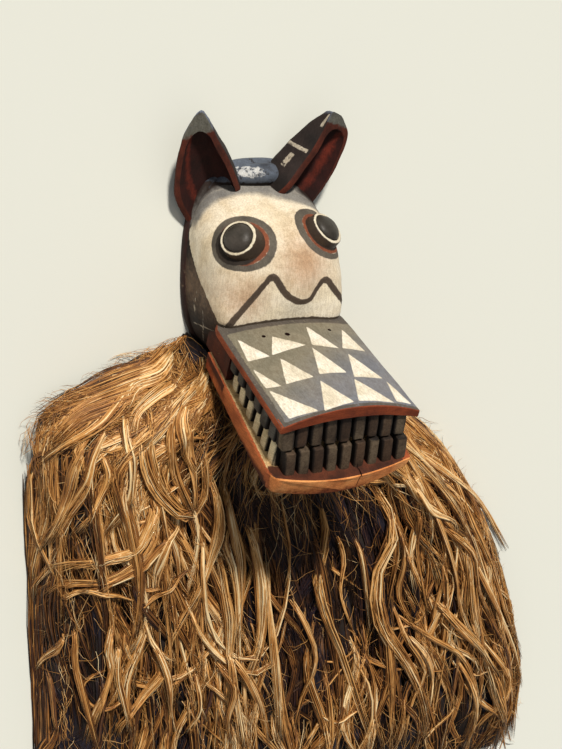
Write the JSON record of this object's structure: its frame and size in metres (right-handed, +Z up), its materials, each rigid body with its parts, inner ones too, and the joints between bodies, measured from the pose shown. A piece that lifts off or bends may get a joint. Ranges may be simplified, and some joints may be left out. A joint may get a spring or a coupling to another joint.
{
  "type": "carved animal mask with fibre cape",
  "caption": "Carved and painted hyena helmet mask with an open toothed snout, tall ears and a long cape of bast fibre, lying on its back.",
  "frame": {"origin": "on the floor under the middle of the whole part's outline, which lies on the cape's flat underside", "axes": "+X to the mask's own left, +Y from the hem of the cape towards the ears, +Z up from the floor the part lies on, the way the face looks"},
  "size_m": [0.8738, 1.1165, 0.3097],
  "materials": {
    "painted_wood": "matte worn earth paint, cream, grey, black and red-brown",
    "bast_fibre": "golden bast hanks over dark dyed fibre"
  },
  "bodies": {
    "root": {"carved_head": "painted_wood", "fibre_cape": "bast_fibre"}
  },
  "joints": []
}
